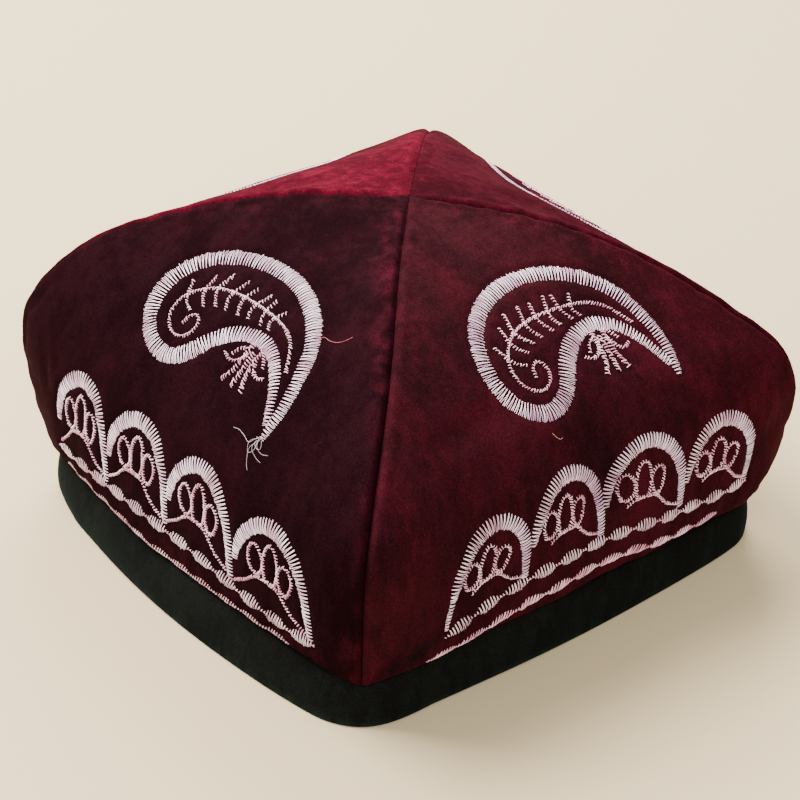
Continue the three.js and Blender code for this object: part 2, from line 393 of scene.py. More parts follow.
def goreChart(name):
    place = stitchPlaces[name]
    satin, rope = [], []
    across, up = place["stretch"]

    def shifted(line):
        moved = line.copy()
        moved[:, 0] = across * line[:, 0] + place["paisley"][0]
        moved[:, 1] = 75 + up * (line[:, 1] - 75) + place["paisley"][1]
        return moved

    satin.append(shifted(charted(paisleyRibbon, 0)) * (1, 1, place.get("ribbon", 1), 1))
    rope.append(shifted(charted(fernSpine, 1.2, 34)))
    for outerTip, crossing, bend, innerTip in fernBarbs:
        rope.append(shifted(charted([outerTip, crossing], 1.25, 32)))
        rope.append(shifted(charted([crossing, bend, innerTip], 1.05, 32)))
    for width, stroke in fanFlower:
        rope.append(shifted(charted(stroke, width, 28)))
    row, lowRow = (
        np.poly1d(np.polyfit(*zip(*place[key]), border["rowDegree"])) for key in ("row", "lowRow")
    )
    for i, (foot, wide, tall) in enumerate(place["arches"]):
        satin.append(archPlaced(charted(archRibbon, 0), foot, wide, tall, row))
        if i == 0 and place["leg"]:
            satin.append(archPlaced(charted(legEnd, 0), foot, wide, tall, row))
        for loop in sprigLoops:
            loop = [(x + place["sprigShift"], 10.4 + (y - 10.4) * place["loops"]) for x, y in loop]
            rope.append(archPlaced(charted(loop, 1.25, 30, closed=True), foot, wide, tall, row))
        for stem in (sprigStems[0][: place["stem"]], sprigStems[1]):
            rope.append(archPlaced(charted(stem, 1.15, 32), foot, wide, tall, row))
    satin.append(beadRow(row, place["rowEnds"], border["beads"], border["beadWidth"], place["lean"][0]))
    low = beadRow(lowRow, place["lowRowEnds"], border["lowBeads"], border["lowBeadWidth"], place["lean"][1])
    low[:, 1] = np.maximum(low[:, 1], 1.7)
    satin.append(low)
    return satin, rope


charts = {name: goreChart(name) for name in gores}
print("embroidery charted:", sum(len(satin) + len(rope) for satin, rope in charts.values()), "lines")


# shader and geometry node helpers
def socketNamed(sockets, name):
    if isinstance(name, int):
        return sockets[name]
    return next(s for s in sockets if s.name == name and s.enabled)


def addNode(tree, kind, settings=None, feeds=None):
    node = tree.nodes.new(kind)
    for key, value in (settings or {}).items():
        setattr(node, key, value)
    for name, value in (feeds or {}).items():
        socket = socketNamed(node.inputs, name)
        if isinstance(value, bpy.types.NodeSocket):
            tree.links.new(value, socket)
        else:
            socket.default_value = value
    return node


def firstOf(tree, kind, feeds=None):
    # a new node's first output
    return addNode(tree, kind, None, feeds).outputs[0]


def maths(tree, operation, *values):
    feeds = dict(enumerate(values))
    return addNode(tree, "ShaderNodeMath", {"operation": operation}, feeds).outputs[0]


def plus(tree, a, b):
    return maths(tree, "ADD", a, b)


def times(tree, a, b):
    return maths(tree, "MULTIPLY", a, b)


def newTree(name, kind, inputs, outputs):
    tree = bpy.data.node_groups.new(name, kind)
    for label, socketKind, *default in inputs:
        socket = tree.interface.new_socket(label, in_out="INPUT", socket_type="NodeSocket" + socketKind)
        if default:
            socket.default_value = default[0]
    for label, socketKind in outputs:
        tree.interface.new_socket(label, in_out="OUTPUT", socket_type="NodeSocket" + socketKind)
    return tree, tree.nodes.new("NodeGroupInput"), tree.nodes.new("NodeGroupOutput")


def blended(tree, factor, a, b):
    settings = {"data_type": "RGBA", "clamp_factor": True}
    node = addNode(tree, "ShaderNodeMix", settings)
    for socket, value in ((node.inputs[0], factor), (node.inputs[6], a), (node.inputs[7], b)):
        if isinstance(value, bpy.types.NodeSocket):
            tree.links.new(value, socket)
        else:
            socket.default_value = value
    return node.outputs[2]


def ranged(tree, value, low, high, toLow=0.0, toHigh=1.0):
    feeds = {"Value": value, "From Min": low, "From Max": high, "To Min": toLow, "To Max": toHigh}
    settings = {"interpolation_type": "SMOOTHSTEP"}
    return addNode(tree, "ShaderNodeMapRange", settings, feeds).outputs[0]


def noise(tree, vector, scale, detail=3.0, roughness=0.5):
    feeds = {"Vector": vector, "Scale": scale, "Detail": detail, "Roughness": roughness}
    return firstOf(tree, "ShaderNodeTexNoise", feeds)


# how a velvet pile lies: broad brushed patches, fine streaks along the nap, and the tufts
def napGroup():
    inputs = [
        ("Vector", "Vector"),
        ("Patch Scale", "Float", 26.0),
        ("Streak Scale", "Float", 90.0),
        ("Mottle Scale", "Float", 330.0),
        ("Tuft Scale", "Float", 2000.0),
    ]
    outputs = [("Brushed", "Float"), ("Tufts", "Float"), ("Flecks", "Float")]
    tree, source, sink = newTree("velvetNap", "ShaderNodeTree", inputs, outputs)
    vector = source.outputs["Vector"]
    patches = noise(tree, vector, source.outputs["Patch Scale"], 4.0, 0.55)
    stretched = firstOf(tree, "ShaderNodeMapping", {"Vector": vector, "Scale": (1.0, 1.0, 0.28)})
    streaks = noise(tree, stretched, source.outputs["Streak Scale"], 4.0, 0.6)
    tufts = noise(tree, vector, source.outputs["Tuft Scale"], 2.0, 0.6)
    mottle = noise(tree, stretched, source.outputs["Mottle Scale"], 3.0, 0.6)
    mixed = plus(tree, times(tree, patches, 0.4), times(tree, streaks, 0.3))
    mixed = plus(tree, mixed, times(tree, mottle, 0.3))
    tree.links.new(ranged(tree, mixed, 0.4, 0.62), sink.inputs["Brushed"])
    tree.links.new(tufts, sink.inputs["Tufts"])
    tree.links.new(ranged(tree, noise(tree, vector, 1500.0, 2.0, 0.6), 0.58, 0.72), sink.inputs["Flecks"])
    return tree


velvetNap = napGroup()

# light and dark are the tufts' speckle; flecks are single tufts that catch the light
velvetFinish = {
    "specular": 0.01,
    "sheenRoughness": 0.38,
    "tuftHeight": 0.00025,
    "tuftBump": 0.55,
    "speckle": (0.68, 1.34),
    "fleckTone": 1.3,
    "flecks": (0.03, 0.5),
    # the range over which the seams' worn pile and painted highlight follow the pile's patches
    "rubHighlightSpread": (0.25, 1.5),
    "roughness": (0.95, 0.75),
}


def velvetMaterial(name, laid, brushed, sheen, sheenTint, patchScale=26.0):
    # laid and brushed are each a darker and a lighter tone of the pile; nap goes from one to the
    # other and carries painted sheen and shade, and rub lightens seams and folds as worn pile with a
    # painted highlight
    material = bpy.data.materials.new(name)
    material.use_nodes = True
    tree = material.node_tree
    shader = tree.nodes["Principled BSDF"]
    place = addNode(tree, "ShaderNodeTexCoord").outputs["Object"]
    feeds = {"Vector": place, "Patch Scale": patchScale}
    napAndSheen = addNode(tree, "ShaderNodeGroup", {"node_tree": velvetNap}, feeds)
    finish = velvetFinish
    rubAndHighlight = addNode(tree, "ShaderNodeAttribute", {"attribute_name": "rubAndHighlight"}).outputs["Fac"]
    lieAndSheen = addNode(tree, "ShaderNodeAttribute", {"attribute_name": "napAndSheen"}).outputs["Fac"]
    # worn pile and painted highlight at the seams lift the lie
    rubAndHighlightLift = times(tree, rubAndHighlight, ranged(tree, napAndSheen.outputs["Brushed"], 0, 1, *finish["rubHighlightSpread"]))
    lieAndSheen = plus(tree, lieAndSheen, rubAndHighlightLift)
    laidTone = blended(tree, napAndSheen.outputs["Brushed"], (*laid[0], 1), (*laid[1], 1))
    brushedTone = blended(tree, napAndSheen.outputs["Brushed"], (*brushed[0], 1), (*brushed[1], 1))
    # the lie, with its painted sheen and shade, picks the tone between laid and brushed
    colour = blended(tree, lieAndSheen, laidTone, brushedTone)
    fewest, more = finish["flecks"]
    flecked = times(tree, napAndSheen.outputs["Flecks"], plus(tree, times(tree, lieAndSheen, more), fewest))
    fleckColour = [finish["fleckTone"] * channel for channel in brushed[1]]
    colour = blended(tree, flecked, colour, (*fleckColour, 1))
    speckle = ranged(tree, napAndSheen.outputs["Tufts"], 0.3, 0.72, *finish["speckle"])
    colour = addNode(
        tree, "ShaderNodeVectorMath", {"operation": "SCALE"}, {0: colour, "Scale": speckle}
    ).outputs[0]
    tree.links.new(colour, shader.inputs["Base Color"])
    roughness = ranged(tree, napAndSheen.outputs["Brushed"], 0, 1, *finish["roughness"])
    tree.links.new(roughness, shader.inputs["Roughness"])
    bumpFeeds = {
        "Height": napAndSheen.outputs["Tufts"], "Strength": finish["tuftBump"], "Distance": finish["tuftHeight"],
    }
    bump = addNode(tree, "ShaderNodeBump", None, bumpFeeds)
    tree.links.new(bump.outputs[0], shader.inputs["Normal"])
    shader.inputs["Specular IOR Level"].default_value = finish["specular"]
    shader.inputs["Sheen Weight"].default_value = sheen
    shader.inputs["Sheen Roughness"].default_value = finish["sheenRoughness"]
    shader.inputs["Sheen Tint"].default_value = (*sheenTint, 1)
    return material


# each gore's own copy of the velvet: its tones and lie hold painted sheen and shade for how light falls on
# that gore
def goreVelvet(name):
    return velvetMaterial(
        "velvetBurgundyPaintedSheen_" + name,
        laid=pileAndSheen[name]["laid"],
        brushed=pileAndSheen[name]["brushed"],
        sheen=pileAndSheen[name]["sheen"],
        sheenTint=(0.9, 0.09, 0.21),
    )


bandVelvet = velvetMaterial(
    "velvetDarkGreen",
    laid=((0.0034, 0.0034, 0.0032), (0.0051, 0.0057, 0.0053)),
    brushed=((0.0062, 0.0115, 0.0100), (0.0092, 0.0170, 0.0146)),
    sheen=0.04,
    sheenTint=(0.35, 0.6, 0.5),
    patchScale=34.0,
)


threadFinish = {
    "specular": 0.7,
    "sheen": 0.35,
    "sheenRoughness": 0.4,
    "fibreBump": 0.35,
    "fibreHeight": 0.0001,
    "toneShare": 0.7,
    "fibreShare": 0.45,
    # broad random patches of painted shade and sheen on the threads
    "satinSheenPatches": (-0.25, 0.3),
}


def threadMaterial(name, pale, shade, roughness):
    finish = threadFinish
    material = bpy.data.materials.new(name)
    material.use_nodes = True
    tree = material.node_tree
    shader = tree.nodes["Principled BSDF"]
    place = addNode(tree, "ShaderNodeTexCoord").outputs["Object"]
    tone = addNode(tree, "ShaderNodeAttribute", {"attribute_name": "tone"}).outputs["Fac"]
    fibres = noise(tree, place, 2600.0, 2.0, 0.6)
    # broad patches of painted shade and sheen, placed at random, for the threads' uneven gleam
    satinSheenPatches = ranged(tree, noise(tree, place, 120.0, 2.0, 0.5), 0.42, 0.64, *finish["satinSheenPatches"])
    mixed = plus(
        tree, times(tree, tone, finish["toneShare"]), times(tree, fibres, finish["fibreShare"])
    )
    mixed = plus(tree, mixed, satinSheenPatches)
    tree.links.new(blended(tree, mixed, (*pale, 1), (*shade, 1)), shader.inputs["Base Color"])
    feeds = {"Height": fibres, "Strength": finish["fibreBump"], "Distance": finish["fibreHeight"]}
    bump = addNode(tree, "ShaderNodeBump", None, feeds)
    tree.links.new(bump.outputs[0], shader.inputs["Normal"])
    shader.inputs["Roughness"].default_value = roughness
    shader.inputs["Specular IOR Level"].default_value = finish["specular"]
    shader.inputs["Sheen Weight"].default_value = finish["sheen"]
    shader.inputs["Sheen Roughness"].default_value = finish["sheenRoughness"]
    return material


satinThread = threadMaterial("threadPaleLilac", (1.0, 0.82, 0.91), (0.52, 0.28, 0.41), 0.27)
ropeThread = threadMaterial("threadPalePink", (1.0, 0.64, 0.75), (0.56, 0.2, 0.3), 0.32)
frayedThread = threadMaterial("threadFrayed", (0.42, 0.34, 0.38), (0.2, 0.13, 0.16), 0.5)
redFibre = threadMaterial("fibreRed", (0.42, 0.015, 0.03), (0.2, 0.008, 0.015), 0.5)
paleFibre = threadMaterial("fibrePale", (0.5, 0.36, 0.22), (0.25, 0.16, 0.1), 0.5)
print("materials ready")


def meshFrom(name, points, faces, smooth=True):
    mesh = bpy.data.meshes.new(name)
    mesh.from_pydata((np.asarray(points) * mm).tolist(), [], faces)
    mesh.validate()
    mesh.polygons.foreach_set("use_smooth", [smooth] * len(mesh.polygons))
    return mesh


def newObject(name, mesh, material=None):
    piece = bpy.data.objects.new(name, mesh)
    bpy.context.scene.collection.objects.link(piece)
    if material:
        mesh.materials.append(material)
    return piece


def storeFloats(mesh, name, values):
    mesh.attributes.new(name, "FLOAT", "POINT").data.foreach_set("value", np.asarray(values, float).ravel())


# the crown's gores
goreMake = {
    "columns": 150,
    "rows": 132,
    "wall": 2.3,
    "clearance": 0.06,
    "seamDip": 0.9,
    "seamDipWidth": 0.7,
    "seamRoll": 0.4,
    "seamRollAt": 2.2,
    "seamRollWidth": 1.6,
    "footDip": 1.2,
    "footPuff": 0.55,
    "pucker": 0.09,
    "drape": 0.3,
    "stitchSink": 0.45,
    "chartSize": 200.0,
}

# each gore is settled as cloth, held at its seams and foot and cut a little full
clothSettle = {
    "columns": 56,
    "rows": 50,
    "frames": 20,
    "fullness": 0.012,
    "pressure": 1.0,
    "stretch": 40.0,
    "bend": 0.5,
    "solverScale": 10.0,
    "mostMove": 0.7,
}


def settledMoves(name):
    # how far each point of a coarse sheet settles outwards, in millimetres
    columns, rows = clothSettle["columns"], clothSettle["rows"]
    u, t = np.meshgrid(np.linspace(-1, 1, columns + 1), np.linspace(0, 0.985, rows + 1))
    start = goreSurface(name, u, t)
    wide, scale = columns + 1, clothSettle["solverScale"]
    faces = [
        (i * wide + j, i * wide + j + 1, (i + 1) * wide + j + 1, (i + 1) * wide + j)
        for i in range(rows)
        for j in range(columns)
    ]
    cloth = newObject("settling_" + name, meshFrom("settling_" + name, start.reshape(-1, 3) * scale, faces))
    held = cloth.vertex_groups.new(name="held")
    rim = [k for k in range(wide * (rows + 1)) if k // wide in (0, rows) or k % wide in (0, columns)]
    held.add(rim, 1.0, "REPLACE")
    modifier = cloth.modifiers.new("cloth", "CLOTH")
    settings = modifier.settings
    settings.vertex_group_mass = "held"
    settings.quality = 5
    settings.mass = 0.1
    settings.tension_stiffness = settings.compression_stiffness = clothSettle["stretch"]
    settings.bending_stiffness = clothSettle["bend"]
    settings.shrink_min = -clothSettle["fullness"]
    settings.effector_weights.gravity = 0
    settings.use_pressure = True
    settings.uniform_pressure_force = clothSettle["pressure"]
    modifier.collision_settings.use_collision = False
    modifier.point_cache.frame_end = clothSettle["frames"]
    for frameNumber in range(1, clothSettle["frames"] + 1):
        bpy.context.scene.frame_set(frameNumber)
    settled = cloth.evaluated_get(bpy.context.evaluated_depsgraph_get()).to_mesh()
    places = np.zeros(len(settled.vertices) * 3)
    settled.vertices.foreach_get("co", places)
    bpy.data.objects.remove(cloth)
    bpy.context.scene.frame_set(1)
    moves = places.reshape(start.shape) / (scale * mm) - start
    out = (moves * surfaceNormals(start)).sum(2)
    most = clothSettle["mostMove"]
    return u, t, np.tanh(out / most) * most


def settledHeight(name, u, t):
    coarseU, coarseT, moves = settledMoves(name)
    byRow = np.array([np.interp(u[0], coarseU[0], row) for row in moves])
    return np.array([np.interp(t[:, 0], coarseT[:, 0], column) for column in byRow.T]).T


def stitchedGround(name, x, y):
    # 0 to 1, where stitches press the pile down
    satin, rope = charts[name]
    marks = np.vstack([line[::3] for line in satin + rope])
    tree = kdtree.KDTree(len(marks))
    for i, mark in enumerate(marks):
        tree.insert((mark[0], mark[1], 0), i)
    tree.balance()
    pressed = np.zeros(x.shape)
    for index in np.ndindex(x.shape):
        _, i, distance = tree.find((x[index], y[index], 0))
        pressed[index] = np.clip(1 - (distance - marks[i, 2] / 2) / 1.1, 0, 1)
    return pressed * pressed * (3 - 2 * pressed)


def goreGrid(name):
    v = np.linspace(-1, 1, goreMake["columns"] + 1)
    u = 0.5 * v + 0.5 * np.sin(v * math.pi / 2)
    t = np.linspace(0, 1, goreMake["rows"] + 1)
    uu, tt = np.meshgrid(u, t)
    flat = goreSurface(name, uu, tt)
    across = np.linalg.norm(np.diff(flat, axis=1), axis=2)
    x = np.concatenate([np.zeros((len(t), 1)), np.cumsum(across, axis=1)], axis=1)
    x -= x[:, goreMake["columns"] // 2][:, None]
    y = np.broadcast_to(runLength(flat[:, goreMake["columns"] // 2])[:, None], x.shape)
    return uu, tt, flat, x, y


def surfaceNormals(points):
    across, up = np.gradient(points, axis=1), np.gradient(points, axis=0)
    normals = np.cross(across, up)
    normals[-1] = (0, 0, 1)
    return normals / np.maximum(np.linalg.norm(normals, axis=2, keepdims=True), 1e-9)


def keepToOwnSide(name, points):
    # no gore crosses the two upright planes that its corner seams stand in
    facing = math.radians(gores[name]["facing"])
    for turn in (-1, 1):
        heading = facing + turn * math.pi / 4
        inward = np.array([math.cos(heading), math.sin(heading), 0])
        short = goreMake["clearance"] - points @ inward
        points += np.clip(short, 0, None)[..., None] * inward
    return points


def outwardWays(name, flat, seam, x):
    # the way each point moves: out from the cloth, but along the upright seam plane beside a seam
    ways = surfaceNormals(flat)
    facing = math.radians(gores[name]["facing"])
    near = np.exp(-((seam / 3.0) ** 2))
    for side in (-1, 1):
        heading = facing - side * math.pi / 4
        inward = np.array([math.cos(heading), math.sin(heading), 0])
        share = near * (np.sign(x) == side)
        ways = ways - (share * (ways @ inward))[..., None] * inward
    return ways / np.maximum(np.linalg.norm(ways, axis=2, keepdims=True), 1e-6)


def seamHeight(name, seam, x, t):
    # grooves, rolls of seam allowance, ridges and the hollows behind them
    make = goreMake
    groove = -make["seamDip"] * np.exp(-((seam / make["seamDipWidth"]) ** 2))
    groove += make["seamRoll"] * np.exp(-(((seam - make["seamRollAt"]) / make["seamRollWidth"]) ** 2))
    groove *= np.clip(0.4 + t / 0.06, 0, 1)
    middle = np.clip(np.sin(math.pi * np.clip((t - 0.12) / 0.76, 0, 1)), 0, 1)
    height = np.zeros_like(x)
    for side, corner in zip((-1, 1), gores[name]["seams"]):
        ridge = seamRidges[corner]
        onSide = (np.sign(x) == side) * (1 - np.exp(-((x / 7) ** 2)))
        height += np.where(np.sign(x) == side, groove * ridge["groove"], 0)
        height += onSide * middle * ridge["lift"] * np.exp(-((seam / 7) ** 2))
        height -= onSide * middle * ridge["hollow"].get(name, 0) * np.exp(-(((seam - 16) / 10) ** 2))
    return height


def pileLieAndSheen(name, t, x, y, seam, seed):
    foot, apex = pileAndSheen[name]["napAndSheen"]
    # painted sheen and shade: each gore's pile is painted from its foot tone to its apex tone over its
    # upper half
    lieAndSheen = foot + (apex - foot) * np.clip((t - 0.42) / 0.45, 0, 1)
    lieAndSheen += 0.07 * ripples(seed + 5, x, y * 0.4, 16.0) * (0.3 + lieAndSheen)
    # brushed marks, with painted shade and highlight at creases and folds
    for gore, atX, atY, turn, long, wide, lighter in brushMarksAndFoldShading:
        if gore != name:
            continue
        turn = math.radians(turn)
        along = (x - atX) * math.sin(turn) + (y - atY) * math.cos(turn)
        aside = (x - atX) * math.cos(turn) - (y - atY) * math.sin(turn)
        lieAndSheen += lighter * np.exp(-((along / long) ** 2) - (aside / wide) ** 2)
    # lighter along the seams: worn pile with a painted highlight where the seam ridges catch the light,
    # kept out of the seam's own line, stronger high up and near the foot, and a little lighter along the
    # foot
    edge = 2.0 + 5.0 / (1 + np.exp((78 - y) / 5)) + 4.5 * np.exp(-((y / 17) ** 2))
    edge += (0.6 + 0.2 * edge) * ripples(seed + 6, y, np.sign(x) * 30, 12.0)
    rubAndHighlight = 1 / (1 + np.exp((seam - edge) / 0.7)) * (0.7 + 0.3 * ripples(seed + 7, x, y, 6.0))
    rubAndHighlight *= 1 - 0.7 * np.exp(-((seam / 0.5) ** 2))
    rubAndHighlight *= 0.55 + 0.45 / (1 + np.exp((72 - y) / 8)) + 0.7 * np.exp(-((y / 20) ** 2))
    before, after = pileAndSheen[name]["rubAndHighlight"]
    rubAndHighlight *= before + (after - before) / (1 + np.exp(-x / 4))
    rubAndHighlight += 0.08 * np.exp(-((y - 3) / 4) ** 2)
    return lieAndSheen.clip(0, 1.25), rubAndHighlight.clip(0, 1)


def workedGore(name, seed):
    u, t, flat, x, y = goreGrid(name)
    seam = (x[:, -1:] - np.abs(x)).clip(0)
    apexFade = np.clip(x[:, -1:] / 10, 0.1, 1)
    pucker = ripples(seed, y, np.sign(x) * 40, 7.0) * np.exp(-((seam - 4) / 4) ** 2)
    footPucker = ripples(seed + 1, x, x * 0, 10.0) * np.exp(-((y - 2.5) / 5) ** 2)
    height = (
        seamHeight(name, seam, x, t) * apexFade
        - goreMake["footDip"] * np.exp(-((y / 1.6) ** 2))
        + goreMake["footPuff"] * (1 - np.exp(-y / 2.5)) * np.exp(-y / 12)
        + goreMake["pucker"] * (pucker * apexFade + 1.6 * footPucker)
        + goreMake["drape"] * ripples(seed + 2, x, y, 46.0) * (1 - np.exp(-seam / 6))
        - goreMake["stitchSink"] * stitchedGround(name, x, y)
        - creaseDepth(name, u, t)
        + settledHeight(name, u, t)
    )
    ways = outwardWays(name, flat, seam, x)
    outer = worn(keepToOwnSide(name, flat + ways * height[..., None]))
    inner = goreSurface(name, u, t, goreMake["wall"])
    inner += ways * np.clip(height, -3, 0.8)[..., None]
    inner = worn(keepToOwnSide(name, inner))
    lieAndSheen, rubAndHighlight = pileLieAndSheen(name, t, x, y, seam, seed)
    return outer, inner, surfaceNormals(outer), x, y, lieAndSheen, rubAndHighlight


def sheetFaces(rows, columns, start=0, flip=False):
    # quads row by row, closed by triangles at the single last point
    faces = []
    wide = columns + 1
    apex = start + rows * wide
    for i in range(rows):
        for j in range(columns):
            a = start + i * wide + j
            face = (a, a + 1, apex) if i == rows - 1 else (a, a + 1, a + wide + 1, a + wide)
            faces.append(face[::-1] if flip else face)
    return faces


def collapsed(grid):
    # the last row is one point, the apex
    return np.vstack([grid[:-1].reshape(-1, 3), grid[-1, :1]])


def flatChart(mesh, x, y):
    size = goreMake["chartSize"]
    places = np.column_stack([collapsedValues(x) / size + 0.5, collapsedValues(y) / size])
    corner = np.zeros(len(mesh.loops), int)
    mesh.loops.foreach_get("vertex_index", corner)
    layer = mesh.uv_layers.new(name="chart")
    layer.data.foreach_set("uv", places[corner].ravel())


def collapsedValues(grid):
    return np.concatenate([grid[:-1].ravel(), grid[-1, :1]])


def goreSheet(name, outer, normals, x, y):
    # the gore's face alone, which the stitches are laid on
    mesh = meshFrom("sheet_" + name, collapsed(outer), sheetFaces(goreMake["rows"], goreMake["columns"]))
    flatChart(mesh, x, y)
    outward = mesh.attributes.new("outward", "FLOAT_VECTOR", "POINT")
    outward.data.foreach_set("vector", collapsed(normals).ravel())
    return newObject("sheet_" + name, mesh)


def goreShell(name, outer, inner, lieAndSheen, rubAndHighlight):
    rows, columns = goreMake["rows"], goreMake["columns"]
    face = collapsed(outer)
    back = collapsed(inner)
    count = len(face)
    wide = columns + 1
    faces = sheetFaces(rows, columns) + sheetFaces(rows, columns, count, flip=True)
    faces += [(j + 1, j, count + j, count + j + 1) for j in range(columns)]
    for side in (0, columns):
        edge = [i * wide + side for i in range(rows)] + [count - 1]
        for a, b in zip(edge, edge[1:]):
            quad = (a, b, count + b, count + a)
            faces.append(quad if side == 0 else quad[::-1])
    mesh = meshFrom("crown_" + name, np.vstack([face, back]), faces)
    # the seams' worn pile and painted highlight, and the pile's painted sheen and shade, for the velvet's
    # shader
    storeFloats(mesh, "rubAndHighlight", np.concatenate([collapsedValues(rubAndHighlight), np.zeros(count)]))
    storeFloats(mesh, "napAndSheen", np.concatenate([collapsedValues(lieAndSheen)] * 2))
    return newObject("velvet_gore_" + name, mesh, goreVelvet(name))


goreSheets, goreShells = {}, {}
for seed, name in enumerate(gores):
    outer, inner, normals, x, y, lieAndSheen, rubAndHighlight = workedGore(name, 10 * seed + 3)
    goreSheets[name] = goreSheet(name, outer, normals, x, y)
    goreShells[name] = goreShell(name, outer, inner, lieAndSheen, rubAndHighlight)
    print("gore settled:", name)
print("gores sewn:", len(goreShells))


# the band
bandMake = {
    "stations": 96,
    "wall": 3.0,
    "setback": 1.2,
    "puff": 0.6,
    "edge": 1.1,
    "edgeSteps": 4,
    "faceSteps": 7,
    "wave": 0.35,
    "flare": (
        (0, 40, 45, 90, 135, 180, 220, 226, 240, 270, 300, 310, 317, 326, 360),
        (1.2, 1.0, 0.2, 1.0, 0.2, 1.0, -1.4, -0.6, 2.8, 3.4, 4.0, 4.0, 2.4, 0.8, 1.2),
    ),
}


def bandSection(top):
    # across from the outer face, up from the floor; a strip with folded, rounded edges
    wall, edge, steps = bandMake["wall"], bandMake["edge"], bandMake["edgeSteps"]
    turn = np.linspace(0, math.pi / 2, steps + 1)
    face = np.linspace(0, 1, bandMake["faceSteps"] + 1)[1:-1]
    outside = [(-bandMake["puff"] * math.sin(math.pi * s), edge + s * (top - 2 * edge)) for s in face]
    inside = [(wall, top - edge - s * (top - 2 * edge)) for s in face]
    lowOut = [(edge * (1 - math.sin(a)), edge * (1 - math.cos(a))) for a in turn]
    topOut = [(edge * (1 - math.cos(a)), top - edge * (1 - math.sin(a))) for a in turn]
    topIn = [(wall - edge * (1 - math.sin(a)), top - edge * (1 - math.cos(a))) for a in turn]
    lowIn = [(wall - edge * (1 - math.cos(a)), edge * (1 - math.sin(a))) for a in turn]
    return lowOut + outside + topOut + topIn + inside + lowIn


def bandMesh():
    rings, rubAndHighlight = [], []
    v = np.linspace(-1, 1, bandMake["stations"] + 1)[:-1]
    u = 0.5 * v + 0.5 * np.sin(v * math.pi / 2)
    step = 0.004
    around = 0.0
    last = None
    for name in gores:
        foot = goreSurface(name, u, 0 * u)
        along = goreSurface(name, u + step, 0 * u) - goreSurface(name, u - step, 0 * u)
        inward = np.stack([-along[:, 1], along[:, 0], 0 * u], -1)
        inward /= np.linalg.norm(inward, axis=1, keepdims=True)
        for place, aside in zip(foot, inward):
            if last is not None:
                around += np.linalg.norm((place - last)[:2])
            last = place
            section = np.array(bandSection(place[2] - capForm["sewingGap"] * 0.4))
            wave = ripples(91, np.full(len(section), around), section[:, 1], 34.0)
            free = np.clip(section[:, 1] / 3, 0, 1)
            across = bandMake["setback"] + section[:, 0] + bandMake["wave"] * wave * free
            # its lower edge stands out by a compass-wise amount
            compass = math.degrees(math.atan2(place[1], place[0])) % 360
            low = 1 - section[:, 1] / section[:, 1].max()
            across -= np.interp(compass, *bandMake["flare"]) * low**0.8
            ring = np.array([place[0], place[1], 0]) + across[:, None] * aside
            ring[:, 2] = section[:, 1]
            rings.append(ring)
            # a painted highlight along the band's lower edge
            rubAndHighlight.append(0.5 * np.exp(-((section[:, 1] - 0.4) / 0.9) ** 2))
    count, deep = len(rings), len(rings[0])
    faces = []
    for i in range(count):
        for j in range(deep):
            here, there = i * deep, ((i + 1) % count) * deep
            k = (j + 1) % deep
            faces.append((here + j, there + j, there + k, here + k))
    mesh = meshFrom("band", np.vstack(rings), faces)
    # the band's painted edge highlight, for the velvet's shader
    storeFloats(mesh, "rubAndHighlight", np.concatenate(rubAndHighlight))
    storeFloats(mesh, "napAndSheen", np.zeros(len(mesh.vertices)))
    return newObject("velvet_band", mesh, bandVelvet)


band = bandMesh()
print("band folded:", len(band.data.polygons), "faces")


# the stitches: threads laid across the charted lines, worked flat and then laid on the gore
stitchMake = {
    "satinPitch": 0.5,
    "ropePitch": 0.84,
    "thread": 0.108,
    "loft": 0.55,
    "bury": 0.2,
    "pairing": 0.1,
    "looseThread": 0.055,
    "seed": 5,
}


def namedAttribute(tree, name, kind="FLOAT"):
    node = addNode(tree, "GeometryNodeInputNamedAttribute", {"data_type": kind}, {"Name": name})
    return socketNamed(node.outputs, "Attribute")


def laidOnGore(tree, laid, goreObject, chartSize):
    # from the flat chart, where z is the height off the cloth, onto the gore
    gore = addNode(tree, "GeometryNodeObjectInfo", None, {"Object": goreObject}).outputs["Geometry"]
    spot = addNode(
        tree, "ShaderNodeSeparateXYZ", None, {0: firstOf(tree, "GeometryNodeInputPosition")}).outputs
    chartX = plus(tree, maths(tree, "DIVIDE", spot[0], chartSize), 0.5)
    chartY = maths(tree, "MAXIMUM", maths(tree, "DIVIDE", spot[1], chartSize), 0.001)
    chartSpot = firstOf(tree, "ShaderNodeCombineXYZ", {0: chartX, 1: chartY})

    def onGore(value):
        chart = namedAttribute(tree, "chart", "FLOAT_VECTOR")
        feeds = {"Mesh": gore, "Value": value, "UV Map": chart, "Sample UV": chartSpot}
        node = tree.nodes.new("GeometryNodeSampleUVSurface")
        node.data_type = "FLOAT_VECTOR"
        for name, feed in feeds.items():
            tree.links.new(feed, socketNamed(node.inputs, name))
        return socketNamed(node.outputs, "Value")

    ground = onGore(firstOf(tree, "GeometryNodeInputPosition"))
    outward = onGore(namedAttribute(tree, "outward", "FLOAT_VECTOR"))
    lifted = addNode(
        tree, "ShaderNodeVectorMath", {"operation": "SCALE"}, {0: outward, "Scale": spot[2]}
    ).outputs[0]
    place = addNode(tree, "ShaderNodeVectorMath", {"operation": "ADD"}, {0: ground, 1: lifted}).outputs[0]
    feeds = {"Geometry": laid, "Position": place}
    return firstOf(tree, "GeometryNodeSetPosition", feeds)


def threadRing(tree, radius):
    return firstOf(tree, "GeometryNodeCurvePrimitiveCircle", {"Resolution": 5, "Radius": radius})


